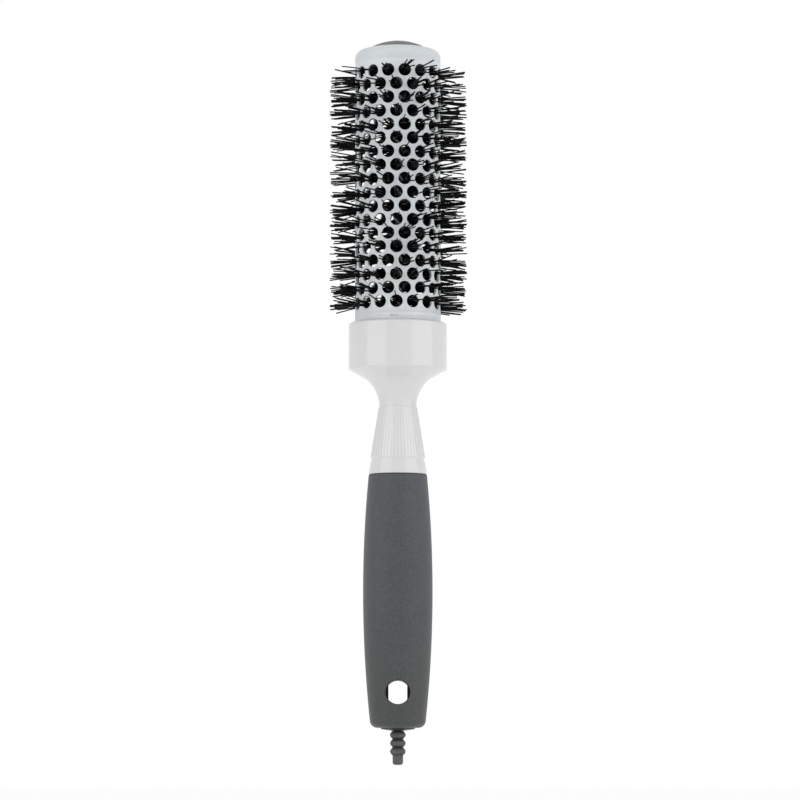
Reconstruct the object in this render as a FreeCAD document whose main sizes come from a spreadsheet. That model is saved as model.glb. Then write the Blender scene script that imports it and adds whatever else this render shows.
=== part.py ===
import FreeCAD, Part
import math
import os
import Sketcher

# Round barrel brush, in millimetres.
# +Z runs along the brush from the handle to the barrel, -Y is the front, and the origin is on the axis
# at the middle of the collar's round face. Heights ending in _z are measured from there, and depths
# ending in _drop go down from there.

DIMENSIONS = [
    # barrel: a perforated aluminium tube with a rounded top
    ("barrel_outer_r", 15.875),
    ("barrel_wall", 1.0),
    ("barrel_foot_drop", 5.5),
    ("barrel_clearance", 0.05),
    ("barrel_rim_z", 111.25),
    ("barrel_opening_r", 11.0),
    ("barrel_crown_slope", 0.231),
    ("barrel_shoulder_r", 3.3),
    ("hole_r", 2.35),
    ("holes_per_row", 16),
    ("row_count", 18),
    ("row_pitch", 5.04),
    ("lowest_row_z", 15.53),
    ("hole_phase_deg", -1.9),
    ("stake_r", 0.5),
    ("stake_depth", 0.35),
    ("stake_z", 10.2),
    ("stake_middle_deg", -3.3),
    ("stake_spread_deg", 5.5),
    ("stake_pairs", 3),
    # bristle tufts: one slender cone for the filaments that come out of one hole
    ("tuft_root_at", 2.1),
    ("tuft_tip_at", 25.0),
    ("tuft_root_r", 0.32),
    ("tuft_tip_r", 0.78),
    # twisted wire core that holds the bristles
    ("wire_r", 1.0),
    ("wire_offset", 1.03),
    ("wire_pitch", 12.0),
    ("wire_foot_drop", 4.4),
    ("wire_top_z", 108.8),
    # snap-in cap at the top of the barrel
    ("cap_rise", 3.0),
    ("cap_lip_r", 11.7),
    ("cap_lip_thick", 1.0),
    ("cap_neck", 1.25),
    ("cap_skirt_r", 10.6),
    ("cap_skirt_bore_r", 9.0),
    ("cap_skirt_z", 106.5),
    ("cap_ceiling_z", 110.8),
    ("cap_boss_r", 3.6),
    ("cap_boss_z", 104.0),
    # plug inside the foot of the barrel
    ("core_bore_r", 2.05),
    ("plug_top_z", 12.5),
    ("plug_deck", 3.0),
    ("plug_skirt_bore_r", 13.0),
    ("plug_hub_r", 5.0),
    ("plug_floor", 1.0),
    # collar and neck: one glossy moulding
    ("collar_r", 18.2),
    ("collar_half_height", 8.45),
    ("collar_lip_z", 9.2),
    ("collar_top_round", 0.7),
    ("collar_bottom_round", 0.3),
    ("flare_arc_r", 13.16),
    ("flare_turn_deg", 51.6),
    ("waist_r", 6.89),
    ("waist_top_drop", 22.27),
    ("waist_bottom_drop", 22.32),
    ("flutes_top_drop", 22.57),
    ("flutes_top_r", 7.09),
    ("flutes_bottom_drop", 41.0),
    ("flutes_bottom_r", 10.1),
    ("notch_drop", 41.45),
    ("notch_r", 9.75),
    ("notch_end_drop", 43.3),
    ("notch_end_r", 10.2),
    ("flute_depth", 0.05),
    ("flute_width", 0.5),
    ("flute_count", 48),
    ("neck_bottom_drop", 47.3),
    ("neck_bottom_r", 10.8),
    ("neck_bottom_round", 0.35),
    # handle: a stiff core inside a rubber sleeve
    ("spigot_r", 4.5),
    ("spigot_top_drop", 14.0),
    ("grip_widest_r", 12.81),
    ("grip_widest_drop", 90.3),
    ("grip_arc_r", 449.0),
    ("grip_wall", 2.0),
    ("grip_bottom_drop", 140.5),
    ("grip_top_round", 0.5),
    ("grip_bottom_round", 2.75),
    ("hang_hole_drop", 127.5),
    ("hang_hole_r", 4.48),
    ("hang_hole_round", 0.4),
    ("tunnel_r", 4.35),
    ("tunnel_half_width", 3.46),
    # round plug that closes the handle, and the ribbed tail that pulls out of it
    ("end_plug_r", 6.25),
    ("end_plug_rim_drop", 140.9),
    ("end_plug_drop", 141.64),
    ("end_plug_stem_r", 3.6),
    ("end_plug_stem_drop", 133.8),
    ("socket_r", 1.56),
    ("shank_r", 1.5),
    ("shank_top_drop", 134.1),
    ("tail_top_drop", 141.62),
    ("tail_top_r", 2.05),
    ("rib_count", 3),
    ("rib_pitch", 2.99),
    ("first_rib_drop", 143.13),
    ("rib_r", 3.29),
    ("rib_root_r", 1.94),
    ("rib_round", 1.2),
    ("tail_tip_drop", 154.05),
    ("tail_tip_round", 1.0),
]

doc = FreeCAD.newDocument("RoundBarrelBrush")
sheet = doc.addObject("Spreadsheet::Sheet", "Dim")
for line, (alias, number) in enumerate(DIMENSIONS, start=1):
    sheet.set(f"A{line}", alias)
    sheet.set(f"B{line}", str(number))
    sheet.setAlias(f"B{line}", alias)
doc.recompute()


class Size:
    """A number together with the expression that works it out from the spreadsheet."""

    def __init__(self, value, text):
        self.value = value
        self.text = text

    def __add__(self, other):
        other = as_size(other)
        return Size(self.value + other.value, f"({self.text} + {other.text})")

    def __sub__(self, other):
        other = as_size(other)
        return Size(self.value - other.value, f"({self.text} - {other.text})")

    def __mul__(self, other):
        other = as_size(other)
        return Size(self.value * other.value, f"({self.text} * {other.text})")

    def __truediv__(self, other):
        other = as_size(other)
        return Size(self.value / other.value, f"({self.text} / {other.text})")

    def __neg__(self):
        return Size(-self.value, f"(0 - {self.text})")


def as_size(thing):
    return thing if isinstance(thing, Size) else Size(float(thing), f"{thing}")


def dim(alias):
    """The spreadsheet cell with this alias."""
    return Size(float(sheet.get(alias)), f"Dim.{alias}")


def root(size):
    return Size(math.sqrt(size.value), f"sqrt({size.text})")


def sine(degrees):
    return Size(math.sin(math.radians(degrees.value)), f"sin({degrees.text})")


def cosine(degrees):
    return Size(math.cos(math.radians(degrees.value)), f"cos({degrees.text})")


# ---------------------------------------------------------------- bodies, sketches and features


def new_body(label):
    body = doc.addObject("PartDesign::Body", label)
    body.Label = label
    return body


def origin_part(body, role):
    """One of the body's own origin planes or axes."""
    return next(part for part in body.Origin.OriginFeatures if part.Role == role)


def new_sketch(body, name, role="XZ_Plane"):
    sketch = body.newObject("Sketcher::SketchObject", name)
    sketch.AttachmentSupport = [(origin_part(body, role), "")]
    sketch.MapMode = "FlatFace"
    return sketch


def drive(sketch, kind, *place, size):
    """Add a dimension to a sketch and bind it to the spreadsheet."""
    index = sketch.addConstraint(Sketcher.Constraint(kind, *place, size.value))
    name = f"size_{index}"
    sketch.renameConstraint(index, name)
    sketch.setExpression(f"Constraints.{name}", size.text)


def arc_between(start, end, radius, side):
    """The short arc from start to end. side is 1 where it turns left along the way and -1 where it turns
    right. Also returns which of the arc's own ends is the start."""
    chord = end - start
    middle = (start + end) * 0.5
    left = FreeCAD.Vector(-chord.y, chord.x, 0).normalize()
    rise = math.sqrt(radius * radius - chord.Length * chord.Length / 4)
    centre = middle + left * (side * rise)
    first, last = (start, end) if side > 0 else (end, start)
    a1 = math.atan2(first.y - centre.y, first.x - centre.x)
    a2 = math.atan2(last.y - centre.y, last.x - centre.x)
    if a2 < a1:
        a2 += 2 * math.pi
    circle = Part.Circle(centre, FreeCAD.Vector(0, 0, 1), radius)
    return Part.ArcOfCircle(circle, a1, a2), 1 if side > 0 else 2


def outline(sketch, corners, bends=None):
    """Draw a closed outline. Each corner is (across, up). bends gives, for the side that leaves a corner,
    its arc radius and the way it turns."""
    bends = bends or {}
    points = [FreeCAD.Vector(across.value, up.value, 0) for across, up in corners]
    ends = []
    for index, start in enumerate(points):
        end = points[(index + 1) % len(points)]
        if index in bends:
            radius, side = bends[index]
            arc, first = arc_between(start, end, radius.value, side)
            geometry = sketch.addGeometry(arc, False)
            drive(sketch, "Radius", geometry, size=radius)
            ends.append((geometry, first, 3 - first))
        else:
            geometry = sketch.addGeometry(Part.LineSegment(start, end), False)
            ends.append((geometry, 1, 2))
    for index, (geometry, first, last) in enumerate(ends):
        following, following_first, _ = ends[(index + 1) % len(ends)]
        sketch.addConstraint(Sketcher.Constraint("Coincident", geometry, last, following, following_first))
        across, up = corners[index]
        for kind, size, axis in (("DistanceX", across, -2), ("DistanceY", up, -1)):
            if size.value:
                drive(sketch, kind, -1, 1, geometry, first, size=size)
            else:
                sketch.addConstraint(Sketcher.Constraint("PointOnObject", geometry, first, axis))


def circle(sketch, across, up, radius):
    shape = Part.Circle(FreeCAD.Vector(across.value, up.value, 0), FreeCAD.Vector(0, 0, 1), radius.value)
    geometry = sketch.addGeometry(shape, False)
    drive(sketch, "Radius", geometry, size=radius)
    for kind, size, axis in (("DistanceX", across, -2), ("DistanceY", up, -1)):
        if size.value:
            drive(sketch, kind, -1, 1, geometry, 3, size=size)
        else:
            sketch.addConstraint(Sketcher.Constraint("PointOnObject", geometry, 3, axis))


def revolve(body, name, sketch, axis="V_Axis"):
    feature = body.newObject("PartDesign::Revolution", name)
    feature.Profile = sketch
    feature.ReferenceAxis = (sketch, [axis])
    feature.Angle = 360
    doc.recompute()
    return feature


def turned_body(label, corners, bends=None):
    """A body made by turning a closed outline of (radius, height) corners about Z."""
    body = new_body(label)
    sketch = new_sketch(body, f"{label}_outline")
    outline(sketch, corners, bends)
    revolve(body, f"{label}_turned", sketch)
    return body


def pocket(body, name, sketch, length, both_ways=False):
    """Cut along the sketch's normal, and make sure that the cut removed something."""
    before = body.Shape.Volume
    feature = body.newObject("PartDesign::Pocket", name)
    feature.Profile = sketch
    feature.Type = "Length"
    feature.Length = length.value
    feature.setExpression("Length", length.text)
    feature.SideType = "Symmetric" if both_ways else "One side"
    doc.recompute()
    if body.Shape.Volume >= before:
        raise RuntimeError(f"{name} removed nothing")
    return feature


def around(body, name, originals, count, angle):
    """Repeat features about Z: count of them, spread over the angle from the first to the last."""
    feature = body.newObject("PartDesign::PolarPattern", name)
    feature.Originals = originals
    feature.Axis = (origin_part(body, "Z_Axis"), [""])
    feature.setExpression("Occurrences", count.text)
    feature.setExpression("Angle", angle.text)
    body.Tip = feature
    doc.recompute()
    return feature


def round_edges(body, name, radius, rings):
    """Fillet the circular edges about Z that pass through the given (radius, height) corners."""
    base = body.Tip
    names = []
    for ring_r, ring_z in rings:
        for index, edge in enumerate(base.Shape.Edges, start=1):
            if not isinstance(edge.Curve, Part.Circle):
                continue
            centre = edge.Curve.Center
            on_axis = math.hypot(centre.x, centre.y) < 1e-4
            same_r = abs(edge.Curve.Radius - ring_r.value) < 1e-4
            if on_axis and same_r and abs(centre.z - ring_z.value) < 1e-4:
                names.append(f"Edge{index}")
    if len(names) < len(rings):
        raise RuntimeError(f"{name} found {len(names)} edges for {len(rings)} corners")
    feature = body.newObject("PartDesign::Fillet", name)
    feature.Base = (base, names)
    feature.Radius = radius.value
    feature.setExpression("Radius", radius.text)
    body.Tip = feature
    doc.recompute()
    return feature


def turn(body, degrees, up=0.0):
    """Turn a finished body about Z and lift it."""
    body.Placement = FreeCAD.Placement(
        FreeCAD.Vector(0, 0, up), FreeCAD.Rotation(FreeCAD.Vector(0, 0, 1), degrees)
    )


# ---------------------------------------------------------------- barrel

AXIS = as_size(0)
barrel_bore_r = dim("barrel_outer_r") - dim("barrel_wall")
hole_step = as_size(360) / dim("holes_per_row")


def make_barrel():
    """Tube whose crown closes in to a round opening, with staggered rows of holes."""
    outer, rim, opening = dim("barrel_outer_r"), dim("barrel_rim_z"), dim("barrel_opening_r")
    slope, wall, foot = dim("barrel_crown_slope"), dim("barrel_wall"), -dim("barrel_foot_drop")
    inner_rim = rim - wall * root(slope * slope + 1)
    outer_corner = (outer, rim - (outer - opening) * slope)
    inner_corner = (barrel_bore_r, inner_rim - (barrel_bore_r - opening) * slope)
    body = turned_body(
        "barrel",
        [
            (barrel_bore_r, foot),
            (outer, foot),
            outer_corner,
            (opening, rim),
            (opening, inner_rim),
            inner_corner,
        ],
    )
    round_edges(body, "shoulder_outside", dim("barrel_shoulder_r"), [outer_corner])
    round_edges(body, "shoulder_inside", dim("barrel_shoulder_r") - wall, [inner_corner])
    make_stake_marks(body)
    for parity in (0, 1):
        make_hole_rows(body, parity)
    turn(body, dim("hole_phase_deg").value)
    return body


def front_sketch(body, name, degrees, out):
    """A sketch that faces outwards, turned about Z from the front and moved out from the axis."""
    sketch = new_sketch(body, name)
    swing = FreeCAD.Rotation(FreeCAD.Vector(0, 1, 0), degrees)
    sketch.AttachmentOffset = FreeCAD.Placement(swing.multVec(FreeCAD.Vector(0, 0, out)), swing)
    return sketch


def make_hole_rows(body, parity):
    """Every second row of holes."""
    wall, turn_by = dim("barrel_wall"), parity * hole_step.value / 2
    sketch = front_sketch(body, f"hole_{parity}", turn_by, dim("barrel_outer_r").value + wall.value)
    circle(sketch, AXIS, dim("lowest_row_z") + dim("row_pitch") * parity, dim("hole_r"))
    drilled = pocket(body, f"drilling_{parity}", sketch, wall * 4)
    rows = body.newObject("PartDesign::LinearPattern", f"rows_{parity}")
    rows.Direction = (origin_part(body, "Z_Axis"), [""])
    rows.setExpression("Length", (dim("row_pitch") * (dim("row_count") - 2)).text)
    rows.setExpression("Occurrences", (dim("row_count") / 2).text)
    ring = body.newObject("PartDesign::PolarPattern", f"ring_{parity}")
    ring.Axis = (origin_part(body, "Z_Axis"), [""])
    ring.setExpression("Occurrences", dim("holes_per_row").text)
    ring.Angle = 360
    pattern = body.newObject("PartDesign::MultiTransform", f"perforation_{parity}")
    pattern.Originals = [drilled]
    pattern.Transformations = [rows, ring]
    body.Tip = pattern
    doc.recompute()


def make_stake_marks(body):
    """Pairs of small punch marks that lock the tube to the plug inside it."""
    outer_r, depth = dim("barrel_outer_r").value, dim("stake_depth")
    marks = []
    for index, side in enumerate((-1, 1)):
        turn_by = dim("stake_middle_deg").value + side * dim("stake_spread_deg").value / 2
        sketch = front_sketch(body, f"stake_{index}", turn_by, outer_r + depth.value)
        circle(sketch, AXIS, dim("stake_z"), dim("stake_r"))
        marks.append(pocket(body, f"stake_mark_{index}", sketch, depth * 2))
    around(body, "stake_marks", marks, dim("stake_pairs"), as_size(360))


# ---------------------------------------------------------------- parts inside and on the barrel


def make_end_cap():
    """Domed cap that snaps into the barrel's opening and holds the top of the wire core."""
    rim, opening, rise = dim("barrel_rim_z"), dim("barrel_opening_r"), dim("cap_rise")
    lip_top = rim - dim("cap_neck")
    lip_bottom = lip_top - dim("cap_lip_thick")
    dome_r = (opening * opening + rise * rise) / (rise * 2)
    lip_overhang = dim("cap_lip_r") - dim("cap_skirt_r")
    return turned_body(
        "end_cap",
        [
            (opening, rim),
            (AXIS, rim + rise),
            (AXIS, dim("wire_top_z")),
            (dim("core_bore_r"), dim("wire_top_z")),
            (dim("core_bore_r"), dim("cap_boss_z")),
            (dim("cap_boss_r"), dim("cap_boss_z")),
            (dim("cap_boss_r"), dim("cap_ceiling_z")),
            (dim("cap_skirt_bore_r"), dim("cap_ceiling_z")),
            (dim("cap_skirt_bore_r"), dim("cap_skirt_z")),
            (dim("cap_skirt_r"), dim("cap_skirt_z")),
            (dim("cap_skirt_r"), lip_bottom - lip_overhang),
            (dim("cap_lip_r"), lip_bottom),
            (dim("cap_lip_r"), lip_top),
            (opening, lip_top),
        ],
        {0: (dome_r, 1)},
    )


def make_barrel_plug():
    """Cup-shaped plug in the foot of the barrel, with a hub that holds the foot of the wire core."""
    foot, top = -dim("barrel_foot_drop"), dim("plug_top_z")
    ceiling, bore_floor = top - dim("plug_deck"), foot + dim("plug_floor")
    return turned_body(
        "barrel_plug",
        [
            (AXIS, foot),
            (dim("plug_hub_r"), foot),
            (dim("plug_hub_r"), ceiling),
            (dim("plug_skirt_bore_r"), ceiling),
            (dim("plug_skirt_bore_r"), foot),
            (barrel_bore_r, foot),
            (barrel_bore_r, top),
            (dim("core_bore_r"), top),
            (dim("core_bore_r"), bore_floor),
            (AXIS, bore_floor),
        ],
    )


def make_core_wire(letter, degrees):
    """One of the two wires that are twisted together to grip the bristles."""
    label = f"core_wire_{letter}"
    body = new_body(label)
    sketch = new_sketch(body, f"{label}_section", "XY_Plane")
    circle(sketch, dim("wire_offset"), AXIS, dim("wire_r"))
    coil = body.newObject("PartDesign::AdditiveHelix", f"{label}_twist")
    coil.Profile = sketch
    coil.ReferenceAxis = (origin_part(body, "Z_Axis"), [""])
    coil.Mode = "pitch-height-angle"
    coil.setExpression("Pitch", dim("wire_pitch").text)
    coil.setExpression("Height", (dim("wire_top_z") + dim("wire_foot_drop")).text)
    coil.LeftHanded = True
    doc.recompute()
    turn(body, degrees, -dim("wire_foot_drop").value)
    return body


def make_bristle_row(number):
    """One ring of tufts, each coming out through one hole of the barrel."""
    label = f"bristle_row_{number:02d}"
    body = new_body(label)
    sketch = new_sketch(body, f"{label}_outline")
    outline(
        sketch,
        [
            (dim("tuft_root_at"), AXIS),
            (dim("tuft_tip_at"), AXIS),
            (dim("tuft_tip_at"), dim("tuft_tip_r")),
            (dim("tuft_root_at"), dim("tuft_root_r")),
        ],
    )
    tuft = revolve(body, f"{label}_tuft", sketch, "H_Axis")
    around(body, f"{label}_ring", [tuft], dim("holes_per_row"), as_size(360))
    stagger = hole_step.value / 2 if number % 2 == 0 else 0.0
    row_z = dim("lowest_row_z") + dim("row_pitch") * (number - 1)
    turn(body, dim("hole_phase_deg").value + stagger, row_z.value)
    body.setExpression("Placement.Base.z", row_z.text)
    return body


# ---------------------------------------------------------------- handle


def grip_r_at(drop, inset=None):
    """Radius of the grip's barrel-shaped side at a depth below the collar, less an inset."""
    arc_r = dim("grip_arc_r") - inset if inset else dim("grip_arc_r")
    widest = dim("grip_widest_r") - inset if inset else dim("grip_widest_r")
    off = drop - dim("grip_widest_drop")
    return widest - arc_r + root(arc_r * arc_r - off * off)


def make_collar_neck():
    """Collar that cups the foot of the barrel, flaring down through a waist into a fluted neck. A shallow
    notch runs round the neck below the flutes."""
    half, turned = dim("collar_half_height"), dim("flare_turn_deg")
    waist_r, arc_r = dim("waist_r"), dim("flare_arc_r")
    flare_end = (
        waist_r + arc_r - arc_r * cosine(turned),
        arc_r * sine(turned) - dim("waist_top_drop"),
    )
    socket_r = dim("barrel_outer_r") + dim("barrel_clearance")
    body = turned_body(
        "collar_neck",
        [
            (AXIS, -dim("barrel_foot_drop")),
            (AXIS, -dim("spigot_top_drop")),
            (dim("spigot_r"), -dim("spigot_top_drop")),
            (dim("spigot_r"), -dim("neck_bottom_drop")),
            (dim("neck_bottom_r"), -dim("neck_bottom_drop")),
            (dim("notch_end_r"), -dim("notch_end_drop")),
            (dim("notch_r"), -dim("notch_drop")),
            (dim("flutes_bottom_r"), -dim("flutes_bottom_drop")),
            (dim("flutes_top_r"), -dim("flutes_top_drop")),
            (waist_r, -dim("waist_bottom_drop")),
            (waist_r, -dim("waist_top_drop")),
            flare_end,
            (dim("collar_r"), -half),
            (dim("collar_r"), half),
            (socket_r, dim("collar_lip_z")),
            (socket_r, -dim("barrel_foot_drop")),
        ],
        {10: (arc_r, -1)},
    )
    round_edges(body, "collar_top", dim("collar_top_round"), [(dim("collar_r"), half)])
    round_edges(body, "collar_bottom", dim("collar_bottom_round"), [(dim("collar_r"), -half)])
    round_edges(
        body, "neck_bottom", dim("neck_bottom_round"), [(dim("neck_bottom_r"), -dim("neck_bottom_drop"))]
    )
    make_flutes(body)
    return body


def make_flutes(body):
    """Fine lengthwise grooves, cut to an even depth all round the cone of the neck."""
    depth = dim("flute_depth")
    clear = depth * 3
    sketch = new_sketch(body, "flute_outline")
    outline(
        sketch,
        [
            (dim("flutes_bottom_r") - depth, -dim("flutes_bottom_drop") - depth * 2),
            (dim("flutes_bottom_r") + clear, -dim("flutes_bottom_drop") - depth * 2),
            (dim("flutes_top_r") + clear, -dim("flutes_top_drop")),
            (dim("flutes_top_r") - depth, -dim("flutes_top_drop")),
        ],
    )
    flute = pocket(body, "flute", sketch, dim("flute_width"), both_ways=True)
    around(body, "flutes", [flute], dim("flute_count"), as_size(360))


def make_handle_core():
    """Stiff core of the handle, with a spigot in the neck and a flat-sided tunnel for the hang hole."""
    wall = dim("grip_wall")
    top, bottom = dim("neck_bottom_drop"), dim("grip_bottom_drop") - wall
    body = turned_body(
        "handle_core",
        [
            (AXIS, -dim("spigot_top_drop")),
            (AXIS, -dim("end_plug_stem_drop")),
            (dim("end_plug_stem_r"), -dim("end_plug_stem_drop")),
            (dim("end_plug_stem_r"), -bottom),
            (grip_r_at(bottom, wall), -bottom),
            (grip_r_at(top, wall), -top),
            (dim("spigot_r"), -top),
            (dim("spigot_r"), -dim("spigot_top_drop")),
        ],
        {4: (dim("grip_arc_r") - wall, 1)},
    )
    half = dim("tunnel_half_width")
    rise = root(dim("tunnel_r") * dim("tunnel_r") - half * half)
    middle = -dim("hang_hole_drop")
    sketch = new_sketch(body, "tunnel_outline")
    outline(
        sketch,
        [(half, middle - rise), (half, middle + rise), (-half, middle + rise), (-half, middle - rise)],
        {1: (dim("tunnel_r"), 1), 3: (dim("tunnel_r"), 1)},
    )
    pocket(body, "tunnel", sketch, dim("grip_widest_r") * 3, both_ways=True)
    return body


def make_grip_sleeve():
    """Rubber sleeve over the core, swelling towards its middle, with the round hang hole through it."""
    wall, plug_r = dim("grip_wall"), dim("end_plug_r")
    top, bottom = dim("neck_bottom_drop"), dim("grip_bottom_drop")
    body = turned_body(
        "grip_sleeve",
        [
            (grip_r_at(top, wall), -top),
            (grip_r_at(bottom - wall, wall), wall - bottom),
            (plug_r, wall - bottom),
            (plug_r, -bottom),
            (grip_r_at(bottom), -bottom),
            (grip_r_at(top), -top),
        ],
        {0: (dim("grip_arc_r") - wall, -1), 4: (dim("grip_arc_r"), 1)},
    )
    round_edges(body, "grip_top", dim("grip_top_round"), [(grip_r_at(top), -top)])
    round_edges(body, "grip_bottom", dim("grip_bottom_round"), [(grip_r_at(bottom), -bottom)])
    sketch = new_sketch(body, "hang_hole_outline")
    circle(sketch, AXIS, -dim("hang_hole_drop"), dim("hang_hole_r"))
    pocket(body, "hang_hole", sketch, dim("grip_widest_r") * 3, both_ways=True)
    soften_hang_hole(body)
    return body


def soften_hang_hole(body):
    """Round the two mouths of the hang hole."""
    base = body.Tip
    above = dim("hang_hole_drop") - dim("hang_hole_r")
    below = dim("hang_hole_drop") + dim("hang_hole_r")
    inner_r = grip_r_at(above, dim("grip_wall")).value
    names = []
    for index, edge in enumerate(base.Shape.Edges, start=1):
        box = edge.BoundBox
        in_reach = box.ZMin > -below.value - 0.1 and box.ZMax < -above.value + 0.1
        if in_reach and min(abs(box.YMin), abs(box.YMax)) > inner_r:
            names.append(f"Edge{index}")
    feature = body.newObject("PartDesign::Fillet", "hang_hole_mouths")
    feature.Base = (base, names)
    feature.setExpression("Radius", dim("hang_hole_round").text)
    body.Tip = feature
    doc.recompute()


def make_end_plug():
    """Shallow domed plug in the bottom of the handle, with the socket for the tail's shank."""
    plug_r, stem_r, socket_r = dim("end_plug_r"), dim("end_plug_stem_r"), dim("socket_r")
    rim, apex = dim("end_plug_rim_drop"), dim("end_plug_drop")
    rise = apex - rim
    dome_r = (plug_r * plug_r + rise * rise) / (rise * 2)
    mouth = apex - dome_r + root(dome_r * dome_r - socket_r * socket_r)
    seat = dim("grip_bottom_drop") - dim("grip_wall")
    return turned_body(
        "handle_end_plug",
        [
            (socket_r, -dim("end_plug_stem_drop")),
            (socket_r, -mouth),
            (plug_r, -rim),
            (plug_r, -seat),
            (stem_r, -seat),
            (stem_r, -dim("end_plug_stem_drop")),
        ],
        {1: (dome_r, 1)},
    )


def make_tail():
    """Ribbed rubber tail, with a plain shank that pushes into the end plug."""
    shank_r, root_r, tip = dim("shank_r"), dim("rib_root_r"), -dim("tail_tip_drop")
    top, half_pitch = -dim("tail_top_drop"), dim("rib_pitch") / 2
    crests = [
        (dim("rib_r"), -dim("first_rib_drop") - dim("rib_pitch") * rib)
        for rib in range(int(dim("rib_count").value))
    ]
    roots = [(root_r, crest_z - half_pitch) for _, crest_z in crests]
    ribs = [corner for pair in zip(crests, roots) for corner in pair]
    body = turned_body(
        "sectioning_tail",
        [
            (AXIS, tip),
            (AXIS, -dim("shank_top_drop")),
            (shank_r, -dim("shank_top_drop")),
            (shank_r, top),
            (dim("tail_top_r"), top),
            *ribs,
            (root_r, tip),
        ],
    )
    round_edges(body, "rib_crests", dim("rib_round"), crests)
    round_edges(body, "tail_tip", dim("tail_tip_round"), [(root_r, tip)])
    return body


# ---------------------------------------------------------------- the whole brush

bodies = [
    make_barrel(),
    make_end_cap(),
    make_barrel_plug(),
    make_core_wire("a", 0.0),
    make_core_wire("b", 180.0),
    make_collar_neck(),
    make_handle_core(),
    make_grip_sleeve(),
    make_end_plug(),
    make_tail(),
]
bodies += [make_bristle_row(number) for number in range(1, int(dim("row_count").value) + 1)]

doc.recompute()
for thing in doc.Objects:
    if "Invalid" in thing.State or "Error" in thing.State:
        raise RuntimeError(f"{thing.Label} is {thing.State}")
for body in bodies:
    if body.Shape.isNull() or not body.Shape.isValid():
        raise RuntimeError(f"{body.Label} has no valid shape")

os.makedirs("parts", exist_ok=True)
for body in bodies:
    body.Shape.exportStep(f"parts/{body.Label}.step")
    print(f"{body.Label}: {len(body.Shape.Solids)} solids, {body.Shape.Volume:.1f} mm3")
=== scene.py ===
import math

import bpy
import numpy as np
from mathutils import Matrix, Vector


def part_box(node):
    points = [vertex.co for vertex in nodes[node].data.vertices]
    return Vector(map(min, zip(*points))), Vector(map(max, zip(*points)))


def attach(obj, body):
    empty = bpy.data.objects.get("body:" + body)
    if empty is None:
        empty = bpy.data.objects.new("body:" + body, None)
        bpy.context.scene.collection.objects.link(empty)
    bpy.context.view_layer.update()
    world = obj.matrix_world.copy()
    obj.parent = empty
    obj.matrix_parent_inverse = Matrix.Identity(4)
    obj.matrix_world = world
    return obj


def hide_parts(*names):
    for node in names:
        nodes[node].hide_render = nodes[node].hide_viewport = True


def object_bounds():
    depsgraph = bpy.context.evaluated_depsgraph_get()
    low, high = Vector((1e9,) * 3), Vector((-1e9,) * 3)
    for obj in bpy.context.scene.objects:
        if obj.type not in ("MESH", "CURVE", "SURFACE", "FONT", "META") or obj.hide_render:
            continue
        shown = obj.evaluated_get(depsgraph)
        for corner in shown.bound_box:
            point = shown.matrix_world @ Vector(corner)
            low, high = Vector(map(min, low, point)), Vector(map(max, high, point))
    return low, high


# Round barrel brush: nylon filaments, materials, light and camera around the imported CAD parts.
# Metres, +Z along the brush, -Y the front. Angles about the brush's axis are counted from the front.

MM = 0.001

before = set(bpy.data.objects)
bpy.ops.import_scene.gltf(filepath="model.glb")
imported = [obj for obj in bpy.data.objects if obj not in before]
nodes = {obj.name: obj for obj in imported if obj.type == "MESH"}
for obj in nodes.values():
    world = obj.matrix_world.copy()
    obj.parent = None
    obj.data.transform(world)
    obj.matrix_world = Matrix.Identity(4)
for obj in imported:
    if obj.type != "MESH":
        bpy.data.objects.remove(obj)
cad_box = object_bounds()


def add_object(name, data):
    """A new object in the scene."""
    item = bpy.data.objects.new(name, data)
    bpy.context.scene.collection.objects.link(item)
    return item


# ---------------------------------------------------------------- bristles

BRISTLE_ROWS = 18
HOLES_PER_ROW = 16
HOLE_STEP = 2 * math.pi / HOLES_PER_ROW
HOLE_PHASE = math.radians(-1.9)      # turn of the odd rows' front hole from -Y
WALL_R = 15.4 * MM                   # middle of the barrel's wall
CORE_PITCH = 12 * MM                 # one full turn of the two wires
ROOT_R = 1.2 * MM                    # filaments are pinched between the wires here
TIP_R = 25.0 * MM
TRIM_OFFSET = 0.22 * MM              # the ends are trimmed round a line this far to one side of the axis
SEED = 700                           # a row's number is added to it, so each row has its own draws

# The tuft in one hole. A pair of numbers is the range that a value is drawn from.
FULL_TUFT = (5, 9)                   # 5 to 8 filaments where the core feeds a hole straight on
THIN_TUFT = (2, 4)                   # 2 or 3 where the hole lies between two windings of the core
THIN_BEYOND = 2.1 * MM               # a hole further than about this from its winding gets a thin tuft
THIN_VARIES = (0.75, 1.25)
CORE_SCATTER = 0.4 * MM              # the tuft leaves the core about this far above or below its winding
BUNCH_ROOM = 1.1 * MM                # how far the bunch can sit from the hole's middle
RIM_PULL = (0.5, 1.0)                # how much of the way towards the rim the core pulls it
ASIDE_SHARE = 0.8                    # how much of the room left over it uses sideways
BUNCH_R = 0.9 * MM                   # the filaments bunch this close together in the hole
BUNCH_VARIES = (0.75, 1.15)
BUNCH_HOLLOW = 0.15                  # share of the bunch's area that stays empty in its middle
PLACE_JITTER = 0.35                  # how far a filament strays from its even place round the bunch
ROOT_UP_SHARE = 0.5                  # how much of its place in the bunch a filament has at its root
ROOT_ASIDE_SHARE = 0.3
SLOPE_KEPT = 0.75                    # share of the slope from core to hole that is left past the rim
FAN = (1.5, 2.7)                     # how widely a tuft fans out past the hole
TUFT_LEAN = 0.022                    # standard deviation of the slope of a whole tuft,
FILAMENT_LEAN = 0.018                # of one filament within it
STRAY_LEAN = 0.10                    # and of a stray filament
STRAY_SHARE = 0.08
TRIM_PROUD = 0.40 * MM               # the longest filaments stand this far proud of TIP_R
TRIM_SCATTER = 0.35 * MM             # and the others stop about this much shorter
SHORT_SHARE = 0.12                   # some filaments fall well short of the trim
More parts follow.
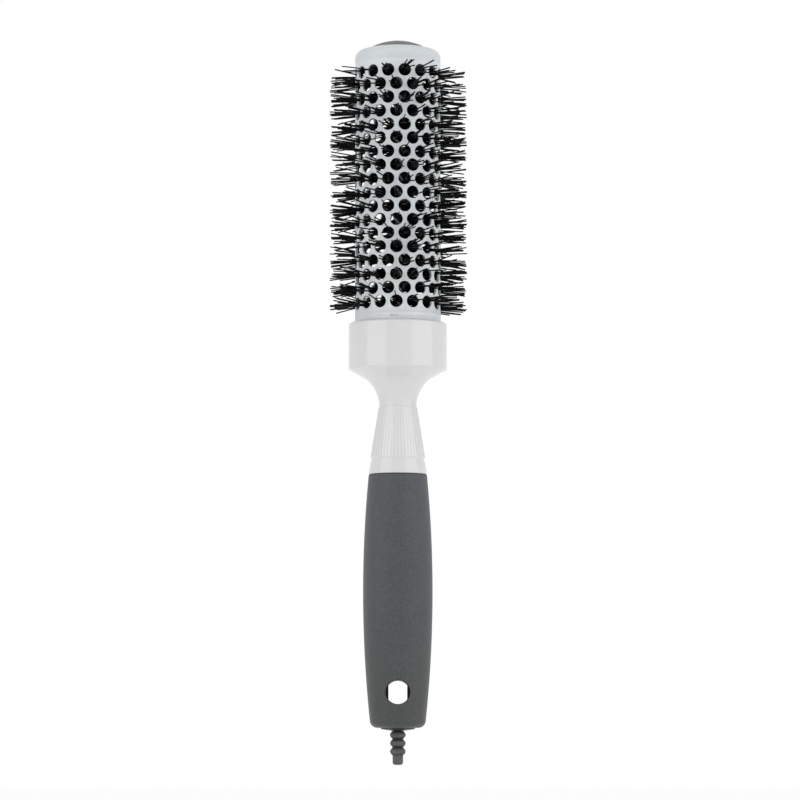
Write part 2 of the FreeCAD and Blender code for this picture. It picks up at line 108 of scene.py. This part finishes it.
SHORT_BY = (1.0 * MM, 4.5 * MM)
FILAMENT_BEND = 0.16 * MM            # how far a tip is bent off its straight line

# Filaments that never found a hole.
TRAPPED_PER_ROW = 44
TRAPPED_SCATTER = 0.6 * MM           # height of the root above or below its winding
TRAPPED_TURN = 0.12                  # turn of the tip from its root, in radians
TRAPPED_TIP_R = 5.0 * MM             # the shortest ones stop at this radius,
TRAPPED_TIP_SPAN = 9.5 * MM          # the longest this much further out,
TRAPPED_CROWDING = 2.5               # and most are nearer to the shortest
TRAPPED_SAG = 0.8 * MM

# One filament's mesh.
FILAMENT_R = 0.25 * MM
FILAMENT_VARIES = (0.9, 1.05)
FILAMENT_SIDES = 6
STEPS_INSIDE = 2                     # rings between root and wall
STEPS_OUTSIDE = 4                    # rings between wall and tip
DOME_RISE = 0.55                     # height and radius of the tip's dome, in filament radii
DOME_R = 0.72
UPRIGHT = 0.01                       # a filament with less sideways run than this stands along the axis


def wound_height(angle, near):
    """Height at which the twisted core sends filaments out at this angle, nearest to a given height."""
    start = -CORE_PITCH * angle / (2 * math.pi)
    half_turn = CORE_PITCH / 2
    return start + half_turn * round((near - start) / half_turn)


def at(angle, radius, height, aside=0.0):
    """A point at an angle from the front. aside moves it along the tangent."""
    return Vector((
        radius * math.sin(angle) + aside * math.cos(angle),
        -radius * math.cos(angle) + aside * math.sin(angle),
        height,
    ))


def tuft_paths(rng, angle, hole_z):
    """The filaments of one hole. They lean on the rim nearest to where the core sends them out."""
    winding_z = wound_height(angle, hole_z)
    core_z = winding_z + rng.normal(0, CORE_SCATTER)
    pull = max(-BUNCH_ROOM, min(BUNCH_ROOM, core_z - hole_z))
    up = pull * rng.uniform(*RIM_PULL)
    room_aside = math.sqrt(max(BUNCH_ROOM ** 2 - up ** 2, 0))
    aside = rng.uniform(-1, 1) * room_aside * ASIDE_SHARE
    spread = rng.uniform(*BUNCH_VARIES) * BUNCH_R
    fan = rng.uniform(*FAN)
    lean = Vector((rng.normal(0, TUFT_LEAN), 0, rng.normal(0, TUFT_LEAN)))
    full = abs(winding_z - hole_z) < THIN_BEYOND * rng.uniform(*THIN_VARIES)
    count = int(rng.integers(*(FULL_TUFT if full else THIN_TUFT)))
    turned = rng.random()
    paths = []
    for index in range(count):
        jitter = rng.uniform(-PLACE_JITTER, PLACE_JITTER)
        way = 2 * math.pi * (index + turned + jitter) / count
        out = spread * math.sqrt(rng.uniform(BUNCH_HOLLOW, 1.0))
        off_aside, off_up = out * math.cos(way), out * math.sin(way)
        root = at(angle, ROOT_R, core_z + off_up * ROOT_UP_SHARE, off_aside * ROOT_ASIDE_SHARE)
        through = at(angle, WALL_R, hole_z + up + off_up, aside + off_aside)
        loose = STRAY_LEAN if rng.random() < STRAY_SHARE else FILAMENT_LEAN
        slope = (hole_z + up - core_z) / WALL_R * SLOPE_KEPT + lean.z + off_up * fan / WALL_R
        drift = aside / WALL_R + lean.x + off_aside * fan / WALL_R
        heading = at(angle, 1.0, slope + rng.normal(0, loose), drift + rng.normal(0, loose))
        heading.normalize()
        trim_r = TIP_R + TRIM_OFFSET * math.sin(angle)
        reach = trim_r - WALL_R + TRIM_PROUD - rng.exponential(TRIM_SCATTER)
        if rng.random() < SHORT_SHARE:
            reach -= rng.uniform(*SHORT_BY)
        bend = at(angle, 0, rng.normal(0, FILAMENT_BEND), rng.normal(0, FILAMENT_BEND))
        points = [root.lerp(through, step / STEPS_INSIDE) for step in range(STEPS_INSIDE)]
        for step in range(STEPS_OUTSIDE + 1):
            part = step / STEPS_OUTSIDE
            points.append(through + heading * (reach * part) + bend * part ** 2)
        paths.append(points)
    return paths


def trapped_path(rng, row_z, row_room):
    """A filament that stops inside the barrel."""
    angle = rng.uniform(0, 2 * math.pi)
    tip_z = row_z + rng.uniform(-0.5, 0.5) * row_room
    root_z = wound_height(angle, tip_z) + rng.normal(0, TRAPPED_SCATTER)
    root = at(angle, ROOT_R, root_z)
    tip_angle = angle + rng.normal(0, TRAPPED_TURN)
    tip_r = TRAPPED_TIP_R + TRAPPED_TIP_SPAN * rng.random() ** TRAPPED_CROWDING
    tip = at(tip_angle, tip_r, tip_z)
    sag = at(angle, 0, 0, rng.normal(0, TRAPPED_SAG))
    return [root, root.lerp(tip, 0.5) + sag, tip]


def add_filament(vertices, faces, points, radius):
    """A round closed rod along the points, with a domed tip."""
    axis = (points[-1] - points[-2]).normalized()
    rings = [(point, radius) for point in points]
    rings.append((points[-1] + axis * radius * DOME_RISE, radius * DOME_R))
    base = len(vertices)
    side = axis.cross(Vector((0, 0, 1)))
    side = side.normalized() if side.length > UPRIGHT else Vector((1, 0, 0))
    other = axis.cross(side)
    for centre, ring_r in rings:
        for corner in range(FILAMENT_SIDES):
            turn = 2 * math.pi * corner / FILAMENT_SIDES
            vertices.append(centre + (side * math.cos(turn) + other * math.sin(turn)) * ring_r)
    last = base + (len(rings) - 1) * FILAMENT_SIDES
    for low in range(base, last, FILAMENT_SIDES):
        for corner in range(FILAMENT_SIDES):
            following = (corner + 1) % FILAMENT_SIDES
            faces.append((
                low + corner, low + following,
                low + FILAMENT_SIDES + following, low + FILAMENT_SIDES + corner,
            ))
    faces.append(tuple(base + corner for corner in reversed(range(FILAMENT_SIDES))))
    faces.append(tuple(last + corner for corner in range(FILAMENT_SIDES)))


def make_bristle_row(number, row_room, material):
    """The real filaments of one ring of holes, in place of the row's plain CAD cones."""
    rng = np.random.default_rng(SEED + number)
    low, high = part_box(f"bristle_row_{number:02d}")
    row_z = (low.z + high.z) / 2
    stagger = HOLE_STEP / 2 if number % 2 == 0 else 0.0
    vertices, faces = [], []
    for hole in range(HOLES_PER_ROW):
        angle = HOLE_PHASE + stagger + HOLE_STEP * hole
        for points in tuft_paths(rng, angle, row_z):
            add_filament(vertices, faces, points, FILAMENT_R * rng.uniform(*FILAMENT_VARIES))
    for _ in range(TRAPPED_PER_ROW):
        add_filament(vertices, faces, trapped_path(rng, row_z, row_room), FILAMENT_R)
    mesh = bpy.data.meshes.new(f"filaments_row_{number:02d}")
    mesh.from_pydata(vertices, [], faces)
    mesh.polygons.foreach_set("use_smooth", [True] * len(mesh.polygons))
    mesh.materials.append(material)
    mesh.update()
    piece = add_object(mesh.name, mesh)
    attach(piece, "brush")
    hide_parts(f"bristle_row_{number:02d}")


# ---------------------------------------------------------------- materials

# A pair of heights or radii is where a soft edge starts and ends.
SHADED_INSIDE_R = (14.9 * MM, 15.3 * MM)                   # the coating is on the outside; inside this radius the barrel is painted near black as painted shade
FOOT_Z = (13 * MM, 15 * MM)                         # the barrel's holes begin
CROWN_Z = (105 * MM, 106 * MM)                      # and end
FLARE_FOOT_Z = (-21.0 * MM, -11.0 * MM)             # the neck flares out to the collar
FLARE_HEAD_Z = (-8.6 * MM, -8.4 * MM)
FLUTES = 48
FLUTES_TOP_Z = -22.57 * MM
FLUTES_BOTTOM_Z = -41.0 * MM
NOTCH_Z = -41.2 * MM                                # the groove round the foot of the flutes
HANDLE_TOP_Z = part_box("grip_sleeve")[1].z
TAIL_PLAIN_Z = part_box("sectioning_tail")[0].z + 3.5 * MM    # the tail has no ribs below this
TAIL_CREST_R = (2.05 * MM, 2.75 * MM)               # from the grooves between the ribs to their crests


def edge(height, start, end):
    """A soft edge that starts and ends this many millimetres above a height."""
    return height + start * MM, height + end * MM


class Finish:
    """A material with one Principled shader, and short ways to wire textures into it."""

    def __init__(self, name, **sockets):
        self.material = bpy.data.materials.new(name)
        self.material.use_nodes = True
        self.tree = self.material.node_tree
        self.tree.nodes.clear()
        self.shader = self.tree.nodes.new("ShaderNodeBsdfPrincipled")
        self.output = self.tree.nodes.new("ShaderNodeOutputMaterial")
        self.link(self.shader.outputs["BSDF"], self.output.inputs["Surface"])
        self.place = self.tree.nodes.new("ShaderNodeTexCoord").outputs["Object"]
        for socket, value in sockets.items():
            self.shader.inputs[socket.replace("_", " ")].default_value = value

    def link(self, source, target):
        self.tree.links.new(source, target)

    def noise(self, size, detail=2.0, roughness=0.5, stretch=None):
        """Noise whose blobs are about this many metres across."""
        node = self.tree.nodes.new("ShaderNodeTexNoise")
        node.inputs["Scale"].default_value = 1 / size
        node.inputs["Detail"].default_value = detail
        node.inputs["Roughness"].default_value = roughness
        self.link(self.stretched(stretch) if stretch else self.place, node.inputs["Vector"])
        return node.outputs["Fac"]

    def maths(self, operation, *inputs):
        """What a Math node makes of its inputs, each a socket or a plain number."""
        node = self.tree.nodes.new("ShaderNodeMath")
        node.operation = operation
        for target, value in zip(node.inputs, inputs):
            if isinstance(value, (int, float)):
                target.default_value = value
            else:
                self.link(value, target)
        return node.outputs["Value"]

    def stretched(self, factors):
        """The place on the object, scaled along each axis."""
        node = self.tree.nodes.new("ShaderNodeVectorMath")
        node.operation = "MULTIPLY"
        self.link(self.place, node.inputs[0])
        node.inputs[1].default_value = factors
        return node.outputs["Vector"]

    def radius(self):
        """Distance from the brush's axis."""
        node = self.tree.nodes.new("ShaderNodeVectorMath")
        node.operation = "LENGTH"
        self.link(self.stretched((1.0, 1.0, 0.0)), node.inputs[0])
        return node.outputs["Value"]

    def along(self, axis):
        """The place along X, Y or Z."""
        node = self.tree.nodes.new("ShaderNodeSeparateXYZ")
        self.link(self.place, node.inputs[0])
        return node.outputs[axis]

    def around(self, count):
        """A wave from -1 to 1, repeated this many times round the axis. It is lowest at the front."""
        turn = self.maths("ARCTAN2", self.along("Y"), self.along("X"))
        return self.maths("COSINE", self.maths("MULTIPLY_ADD", turn, count, math.pi * (count / 2 + 1)))

    def ranged(self, source, low, high, start=0.0, end=1.0):
        """Maps a texture value from start..end to low..high."""
        node = self.tree.nodes.new("ShaderNodeMapRange")
        node.inputs["From Min"].default_value = start
        node.inputs["From Max"].default_value = end
        node.inputs["To Min"].default_value = low
        node.inputs["To Max"].default_value = high
        self.link(source, node.inputs["Value"])
        return node.outputs["Result"]

    def contrasted(self, source, start=0.35, end=0.65):
        """The middle of a noise's values, stretched to 0..1."""
        return self.ranged(source, 0.0, 1.0, start, end)

    def above(self, heights):
        """A mask that is 0 below a soft edge and 1 above it."""
        return self.ranged(self.along("Z"), 0.0, 1.0, *heights)

    def below(self, heights):
        """A mask that is 1 below a soft edge and 0 above it."""
        return self.ranged(self.along("Z"), 1.0, 0.0, *heights)

    def beyond(self, radii):
        """A mask that is 0 near the axis and 1 outside a soft edge."""
        return self.ranged(self.radius(), 0.0, 1.0, *radii)

    def band(self, foot, head):
        """A mask that is 1 between two soft edges."""
        return self.maths("MINIMUM", self.below(head), self.above(foot))

    def mixed(self, fac, first, second):
        """A colour between two colours or colour sockets."""
        node = self.tree.nodes.new("ShaderNodeMix")
        node.data_type = "RGBA"
        self.link(fac, node.inputs["Factor"])
        for name, colour in (("A", first), ("B", second)):
            target = next(s for s in node.inputs if s.name == name and s.type == "RGBA")
            if isinstance(colour, tuple):
                target.default_value = (*colour, 1.0)
            else:
                self.link(colour, target)
        return next(s for s in node.outputs if s.type == "RGBA")

    def scaled(self, colour, factor):
        """A colour socket made lighter or darker."""
        node = self.tree.nodes.new("ShaderNodeVectorMath")
        node.operation = "SCALE"
        node.inputs["Scale"].default_value = factor
        self.link(colour, node.inputs[0])
        return node.outputs["Vector"]

    def scaled_in(self, mask, colour, factor):
        """A colour socket made lighter or darker where the mask is 1."""
        return self.mixed(mask, colour, self.scaled(colour, factor))

    def colour(self, source):
        self.link(source, self.shader.inputs["Base Color"])

    def rough(self, source, low, high, start=0.3, end=0.7):
        """Roughness from low to high as a noise goes from start to end."""
        self.link(self.ranged(source, low, high, start, end), self.shader.inputs["Roughness"])

    def bump(self, *layers):
        """Stacks bump layers, each (height source, depth in metres)."""
        normal = None
        for height, depth in layers:
            node = self.tree.nodes.new("ShaderNodeBump")
            node.inputs["Distance"].default_value = depth
            self.link(height, node.inputs["Height"])
            if normal:
                self.link(normal, node.inputs["Normal"])
            normal = node.outputs["Normal"]
        self.link(normal, self.shader.inputs["Normal"])

    def wear(self, *node_names):
        """Put this finish on CAD nodes."""
        for name in node_names:
            for slot in nodes[name].material_slots:
                slot.material = self.material


def ceramic_finish():
    """Pale grey sprayed ceramic outside, with fine speckle and an uneven sheen. Inside it is painted
    near black as painted shade.
    The plain foot has faint turning rings, and among the holes the coating is painted lighter as painted
    light."""
    finish = Finish("ceramic_coating", Roughness=0.42, Specular_IOR_Level=0.45)
    speckle = finish.contrasted(finish.noise(0.35 * MM, 3.0, 0.7), 0.36, 0.66)
    cloud = finish.contrasted(finish.noise(9 * MM, 2.0))
    turning = finish.noise(0.5 * MM, 1.0, 0.5, (0.02, 0.02, 1.0))
    base = finish.mixed(speckle, (0.410, 0.433, 0.440), (0.498, 0.518, 0.523))
    tint = finish.mixed(speckle, (0.402, 0.425, 0.448), (0.482, 0.505, 0.526))
    paint = finish.mixed(cloud, base, tint)
    rings = finish.contrasted(finish.noise(0.9 * MM, 2.0, 0.6, (0.03, 0.03, 1.0)))
    ringed = finish.mixed(rings, finish.scaled(paint, 0.95), finish.scaled(paint, 1.13))
    crown = finish.above(CROWN_Z)
    # painted light: among the holes the coating is made lighter to make up for the shade of the bristles
    holes_painted_light = finish.mixed(crown, finish.scaled(paint, 1.14), paint)
    outer = finish.mixed(finish.ranged(finish.along("Z"), 1.0, 0.12, *FOOT_Z), holes_painted_light, ringed)
    # painted shade: inside the barrel the colour is near black, standing for the shade in its cavity
    outside_unshaded = finish.maths("MAXIMUM", finish.beyond(SHADED_INSIDE_R), crown)
    finish.colour(finish.mixed(outside_unshaded, (0.012, 0.012, 0.013), outer))
    finish.rough(cloud, 0.36, 0.50, 0.0, 1.0)
    finish.bump((turning, 0.010 * MM), (speckle, 0.012 * MM))
    return finish


def gloss_finish():
    """Glossy off-white moulding with a trace of ripple and hair-fine handling marks. Painted light makes
    it lighter under the collar, along the flutes' ridges, in the notch below them and round the waist at
    their top."""
    finish = Finish("gloss_white_plastic", Specular_IOR_Level=0.5)
    tone = finish.noise(14 * MM, 2.0)
    ripple = finish.noise(5 * MM, 1.0)
    handled = finish.noise(0.9 * MM, 4.0, 0.75, (1.0, 1.0, 0.12))
    plain = finish.mixed(tone, (0.468, 0.468, 0.474), (0.497, 0.496, 0.499))
    # painted light: the flare under the collar is made lighter, standing for light from below
    flare_painted_light = finish.scaled_in(finish.band(FLARE_FOOT_Z, FLARE_HEAD_Z), plain, 1.11)
    # painted highlight: the flutes' ridges are made lighter where they catch the light
    ridge = finish.ranged(finish.around(FLUTES), 0.0, 1.0, -1.0, 1.0)
    ridges = finish.mixed(ridge, finish.scaled(plain, 1.01), finish.scaled(plain, 1.085))
    fluted = finish.band(edge(FLUTES_BOTTOM_Z, -0.1, 0.1), edge(FLUTES_TOP_Z, -0.2, 0.2))
    lined = finish.mixed(fluted, flare_painted_light, ridges)
    # painted light: the notch below the flutes is made lighter to cancel its shadow line
    notch = finish.band(edge(NOTCH_Z, -0.4, -0.1), edge(NOTCH_Z, 0.05, 0.2))
    notch_painted_light = finish.scaled_in(notch, lined, 1.16)
    # painted light: the waist at the flutes' top is made a little lighter
    waist = finish.band(edge(FLUTES_TOP_Z, -0.4, -0.1), edge(FLUTES_TOP_Z, 0.2, 0.5))
    finish.colour(finish.scaled_in(waist, notch_painted_light, 1.05))
    finish.rough(handled, 0.07, 0.17, 0.3, 0.75)
    finish.bump((ripple, 0.020 * MM), (handled, 0.0012 * MM))
    return finish


def rubber_finish():
    """Soft-touch rubber with a fine leathery grain and a cloudy, dusty tone. Its colour turns from the
    handle's top to its foot, and painted shade darkens the sleeve's top edge under the neck."""
    finish = Finish("grip_rubber", Specular_IOR_Level=0.35, Sheen_Weight=0.06, Sheen_Roughness=0.5)
    grain = 0.40 * MM
    cells = finish.noise(grain, 3.0, 0.6)
    tone = finish.noise(11 * MM, 3.0, 0.6)
    lower = finish.below((cad_box[0].z, HANDLE_TOP_Z))
    base = finish.mixed(lower, (0.0440, 0.0465, 0.0530), (0.0350, 0.0378, 0.0362))
    cloudy = finish.scaled_in(finish.ranged(tone, 0.25, 0.75, 0.3, 0.7), base, 1.15)
    speckled = finish.contrasted(finish.noise(grain * 1.8, 2.0, 0.7))
    rubber = finish.mixed(speckled, finish.scaled(cloudy, 0.82), finish.scaled(cloudy, 1.18))
    # painted shade: the sleeve's rolled top edge under the neck is darkened, standing for its shadow
    seam = finish.above(edge(HANDLE_TOP_Z, -0.55, -0.25))
    finish.colour(finish.scaled_in(seam, rubber, 0.35))
    finish.rough(cells, 0.50, 0.66)
    finish.bump((tone, 0.05 * MM), (cells, 0.05 * MM))
    return finish


def tail_finish():
    """Firm ribbed rubber, dusty on the crests of the ribs, with painted shade darkening the grooves
    between them.
    """
    finish = Finish("tail_rubber", Specular_IOR_Level=0.30)
    grain = finish.noise(0.5 * MM, 3.0, 0.7)
    dust = finish.noise(1.1 * MM, 2.0, 0.6)
    dusty = finish.mixed(finish.contrasted(dust), (0.050, 0.052, 0.049), (0.074, 0.077, 0.073))
    plain = finish.below(edge(TAIL_PLAIN_Z, -0.3, 0.3))
    # painted shade: the grooves between the ribs are near black; the crests and plain foot keep the
    # dusty colour
    clear_of_groove_shade = finish.maths("MAXIMUM", finish.beyond(TAIL_CREST_R), plain)
    finish.colour(finish.mixed(clear_of_groove_shade, (0.016, 0.017, 0.016), dusty))
    finish.rough(grain, 0.48, 0.66)
    finish.bump((dust, 0.05 * MM), (grain, 0.04 * MM))
    return finish


def moulded_finish(name, dark, light):
    """Plain moulded plastic with a light spark-eroded texture."""
    finish = Finish(name, Specular_IOR_Level=0.45)
    grain = finish.noise(0.3 * MM, 3.0, 0.6)
    tone = finish.contrasted(finish.noise(6 * MM, 2.0), 0.3, 0.7)
    finish.colour(finish.mixed(tone, dark, light))
    finish.rough(grain, 0.38, 0.52)
    finish.bump((grain, 0.012 * MM))
    return finish


def nylon_finish():
    """Black nylon: glossy along the filament, a little duller where it is drawn."""
    finish = Finish("black_nylon", Specular_IOR_Level=0.08)
    drawn = finish.noise(0.6 * MM, 2.0)
    finish.colour(finish.mixed(drawn, (0.0010, 0.0010, 0.0013), (0.0035, 0.0035, 0.0040)))
    finish.rough(drawn, 0.32, 0.50)
    finish.bump((drawn, 0.006 * MM))
    return finish


def wire_finish():
    """Drawn steel wire with fine lengthwise die marks, coloured dark as painted shade for the shade
    inside the barrel.
    """
    finish = Finish("drawn_steel_wire", Metallic=1.0)
    marks = finish.noise(0.25 * MM, 3.0, 0.6, (1.0, 1.0, 0.1))
    # painted shade: the steel is given a dark colour, standing for the shade inside the barrel
    finish.colour(finish.mixed(marks, (0.14, 0.14, 0.145), (0.24, 0.24, 0.25)))
    finish.rough(marks, 0.25, 0.42)
    finish.bump((marks, 0.004 * MM))
    return finish


ceramic_finish().wear("barrel")
gloss_finish().wear("collar_neck")
rubber_finish().wear("grip_sleeve")
tail_finish().wear("sectioning_tail")
moulded_finish("grey_cap_plastic", (0.062, 0.064, 0.066), (0.078, 0.080, 0.083)).wear("end_cap")
moulded_finish("grey_plug_plastic", (0.015, 0.015, 0.014), (0.021, 0.021, 0.020)).wear("handle_end_plug")
moulded_finish("black_core_plastic", (0.008, 0.008, 0.009), (0.014, 0.014, 0.015)).wear("handle_core")
moulded_finish("white_inner_plastic", (0.58, 0.58, 0.59), (0.64, 0.64, 0.65)).wear("barrel_plug")
wire_finish().wear("core_wire_a", "core_wire_b")

first_row, last_row = (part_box(f"bristle_row_{number:02d}") for number in (1, BRISTLE_ROWS))
row_room = (last_row[0].z - first_row[0].z) / (BRISTLE_ROWS - 1)
nylon = nylon_finish().material
for number in range(1, BRISTLE_ROWS + 1):
    make_bristle_row(number, row_room, nylon)


# ---------------------------------------------------------------- floor, light and camera

FLOOR_GAP = 60 * MM                  # the brush hangs this far above the floor
FLOOR_SIZE = 12.0
FLOOR_MOTTLE = 0.05                  # size of the blobs in its faint mottle
CAMERA_DISTANCE = 1.552
CAMERA_ELEVATION = -4.8              # degrees; the camera looks up a little
CAMERA_TARGET = Vector((0.8 * MM, 0, -19.7 * MM))
LENS_MM = 189.0
SOFTBOX_DISTANCE = 1.25
SOFTBOX_ELEVATION = 8                # degrees
SOFTBOX_HEIGHT = 1.5


def make_floor():
    """Pale matt floor that is clear from below."""
    half = FLOOR_SIZE / 2
    level = cad_box[0].z - FLOOR_GAP
    mesh = bpy.data.meshes.new("floor")
    corners = [(-half, -half, level), (half, -half, level), (half, half, level), (-half, half, level)]
    mesh.from_pydata(corners, [], [(0, 1, 2, 3)])
    floor = add_object("floor", mesh)
    finish = Finish("pale_floor", Roughness=0.9, Specular_IOR_Level=0.1)
    mottle = finish.noise(FLOOR_MOTTLE, 2.0)
    finish.colour(finish.mixed(mottle, (0.97, 0.97, 0.97), (0.98, 0.98, 0.98)))
    clear = finish.tree.nodes.new("ShaderNodeBsdfTransparent")
    sides = finish.tree.nodes.new("ShaderNodeNewGeometry")
    choice = finish.tree.nodes.new("ShaderNodeMixShader")
    finish.link(sides.outputs["Backfacing"], choice.inputs["Fac"])
    finish.link(finish.shader.outputs["BSDF"], choice.inputs[1])
    finish.link(clear.outputs["BSDF"], choice.inputs[2])
    finish.link(choice.outputs["Shader"], finish.output.inputs["Surface"])
    mesh.materials.append(finish.material)


def aim(item, azimuth, elevation, distance):
    """Stands a lamp or camera off from the camera's target, facing it. The two angles are in degrees."""
    a, e = math.radians(azimuth), math.radians(elevation)
    back = Vector((math.sin(a) * math.cos(e), -math.cos(a) * math.cos(e), math.sin(e)))
    item.location = CAMERA_TARGET + back * distance
    item.rotation_mode = "QUATERNION"
    item.rotation_quaternion = (-back).to_track_quat("-Z", "Y")


def make_softbox(name, azimuth, width, watts):
    """A large rectangular light that faces the brush."""
    light = bpy.data.lights.new(name, "AREA")
    light.shape = "RECTANGLE"
    light.size = width
    light.size_y = SOFTBOX_HEIGHT
    light.energy = watts
    aim(add_object(name, light), azimuth, SOFTBOX_ELEVATION, SOFTBOX_DISTANCE)


def make_world():
    """An even white studio all round."""
    world = bpy.data.worlds.new("white_studio")
    world.use_nodes = True
    background = next(node for node in world.node_tree.nodes if node.type == "BACKGROUND")
    background.inputs["Color"].default_value = (1.0, 1.0, 1.0, 1.0)
    background.inputs["Strength"].default_value = 1.0
    bpy.context.scene.world = world


def make_camera():
    """Long lens, looking at the brush from slightly below its middle."""
    camera = add_object("camera", bpy.data.cameras.new("camera"))
    camera.data.lens = LENS_MM
    aim(camera, 0, CAMERA_ELEVATION, CAMERA_DISTANCE)
    bpy.context.scene.camera = camera


make_floor()
make_world()
make_softbox("softbox_left", azimuth=-52, width=1.11, watts=7.0)
make_softbox("softbox_right", azimuth=60, width=1.27, watts=8.4)
make_camera()
bpy.context.scene.view_settings.view_transform = "Standard"
